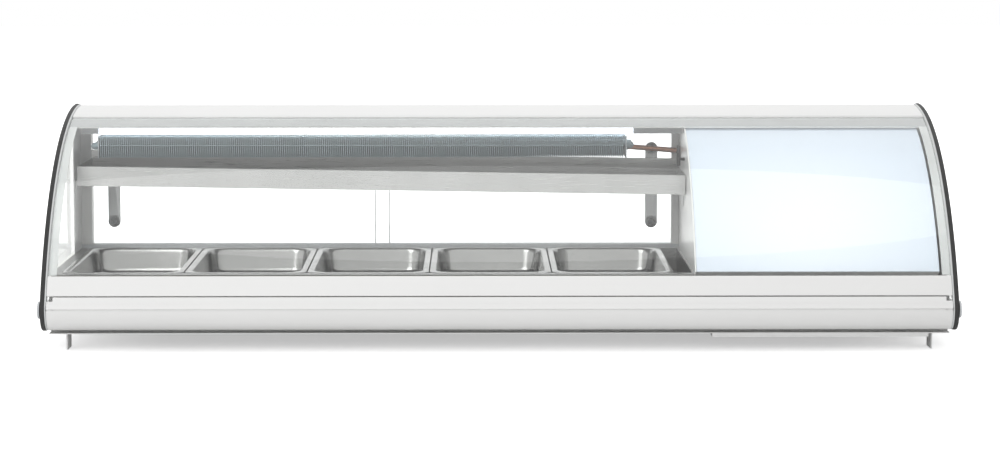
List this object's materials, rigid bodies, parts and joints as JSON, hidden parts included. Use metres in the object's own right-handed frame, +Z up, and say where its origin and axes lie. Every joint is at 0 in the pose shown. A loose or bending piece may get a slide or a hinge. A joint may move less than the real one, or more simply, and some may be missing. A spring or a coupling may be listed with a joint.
{
  "type": "refrigerated sushi display case",
  "caption": "Low countertop sushi display case with a tilting curved front glass, cold well for pans, lit side box and sliding rear doors.",
  "frame": {"origin": "middle of the case's footprint, on the surface that it stands on", "axes": "+X to the right seen from the front, -Y is the customer's side with the curved glass, +Z up"},
  "size_m": [1.3288, 0.412, 0.334],
  "materials": {
    "white_paint": "satin white powder coat",
    "stainless": "brushed stainless steel",
    "clear_glass": "clear tempered glass",
    "clear_acrylic": "clear acrylic",
    "black_rubber": "extruded black rubber",
    "grey_seal": "soft grey seal",
    "aluminium": "anodised aluminium",
    "galvanised": "galvanised steel",
    "copper": "drawn copper",
    "opal": "opal acrylic",
    "led_board": "light strip",
    "foam": "rigid foam",
    "black_paint": "black enamel",
    "black_plastic": "moulded black plastic",
    "grey_plastic": "moulded grey plastic",
    "grey_paint": "satin grey"
  },
  "bodies": {
    "root": {"base_tray": "white_paint", "machine_floor": "white_paint", "feet": "white_paint", "insulation": "foam", "well_liner": "stainless", "drain_spigot": "grey_plastic", "front_bumper": "white_paint", "side_glass_left": "clear_glass", "side_glass_right": "clear_glass", "edge_trims": "black_rubber", "pivot_bushes": "grey_plastic", "top_panel": "white_paint", "divider_wall": "white_paint", "rear_post_left": "white_paint", "rear_post_right": "white_paint", "door_sill": "aluminium", "door_top_rail": "aluminium", "lamp_housing": "aluminium", "lamp_diffuser": "opal", "led_strips": "led_board", "evaporator_fins": "aluminium", "evaporator_tubes": "aluminium", "evaporator_end_plates": "galvanised", "drip_tray": "stainless", "tray_brackets": "white_paint", "light_box_diffuser": "opal", "light_box_tray": "white_paint", "compressor": "black_paint", "compressor_mounts": "black_rubber", "condenser_coil": "galvanised", "fan_shroud": "galvanised", "fan_motor": "black_paint", "filter_drier": "copper", "refrigerant_pipes": "copper", "temperature_probe": "black_plastic", "machine_side_panel": "white_paint", "rear_grille": "white_paint", "cable_gland": "black_plastic", "control_panel": "grey_paint", "thermostat_body": "black_plastic", "switch_bodies": "black_plastic"},
    "front_glass_frame": {"front_glass": "clear_glass", "glass_rail": "white_paint", "glass_end_seals": "grey_seal", "pivot_pins": "aluminium"},
    "left_door": {"door_left": "clear_acrylic", "door_left_handle": "grey_plastic"},
    "right_door": {"door_right": "clear_acrylic", "door_right_handle": "grey_plastic"},
    "condenser_fan": {"fan_rotor": "black_plastic"},
    "main_rocker": {"rocker_main": "black_plastic"},
    "light_rocker": {"rocker_light": "black_plastic"},
    "key_1": {"thermostat_key_1": "black_plastic"},
    "key_2": {"thermostat_key_2": "black_plastic"},
    "key_3": {"thermostat_key_3": "black_plastic"},
    "food_pan_1": {"pan_1": "stainless"},
    "food_pan_2": {"pan_2": "stainless"},
    "food_pan_3": {"pan_3": "stainless"},
    "food_pan_4": {"pan_4": "stainless"},
    "food_pan_5": {"pan_5": "stainless"}
  },
  "joints": [
    {"name": "glass_tilt", "type": "hinge", "parent": "root", "child": "front_glass_frame", "pos_m": [0, -0.192, 0.062], "axis": [1, 0, 0], "range_deg": [0, 90]},
    {"name": "door_left_slide", "type": "slide", "parent": "root", "child": "left_door", "axis": [1, 0, 0], "range_m": [0, 0.43]},
    {"name": "door_right_slide", "type": "slide", "parent": "root", "child": "right_door", "axis": [1, 0, 0], "range_m": [-0.43, 0]},
    {"name": "fan_spin", "type": "hinge", "parent": "root", "child": "condenser_fan", "pos_m": [0.532, 0.098, 0.111], "axis": [0, 1, 0], "continuous": true},
    {"name": "main_rock", "type": "hinge", "parent": "root", "child": "main_rocker", "pos_m": [0.396, 0.197, 0.269], "axis": [1, 0, 0], "range_deg": [0, 12]},
    {"name": "light_rock", "type": "hinge", "parent": "root", "child": "light_rocker", "pos_m": [0.374, 0.197, 0.269], "axis": [1, 0, 0], "range_deg": [0, 12]},
    {"name": "key_1_press", "type": "slide", "parent": "root", "child": "key_1", "axis": [0, -1, 0], "range_m": [0, 0.001], "stiffness_N_per_m": 300},
    {"name": "key_2_press", "type": "slide", "parent": "root", "child": "key_2", "axis": [0, -1, 0], "range_m": [0, 0.001], "stiffness_N_per_m": 300},
    {"name": "key_3_press", "type": "slide", "parent": "root", "child": "key_3", "axis": [0, -1, 0], "range_m": [0, 0.001], "stiffness_N_per_m": 300},
    {"name": "pan_1_lift", "type": "slide", "parent": "root", "child": "food_pan_1", "axis": [0, 0, 1], "range_m": [0, 0.025]},
    {"name": "pan_2_lift", "type": "slide", "parent": "root", "child": "food_pan_2", "axis": [0, 0, 1], "range_m": [0, 0.025]},
    {"name": "pan_3_lift", "type": "slide", "parent": "root", "child": "food_pan_3", "axis": [0, 0, 1], "range_m": [0, 0.025]},
    {"name": "pan_4_lift", "type": "slide", "parent": "root", "child": "food_pan_4", "axis": [0, 0, 1], "range_m": [0, 0.025]},
    {"name": "pan_5_lift", "type": "slide", "parent": "root", "child": "food_pan_5", "axis": [0, 0, 1], "range_m": [0, 0.025]}
  ]
}
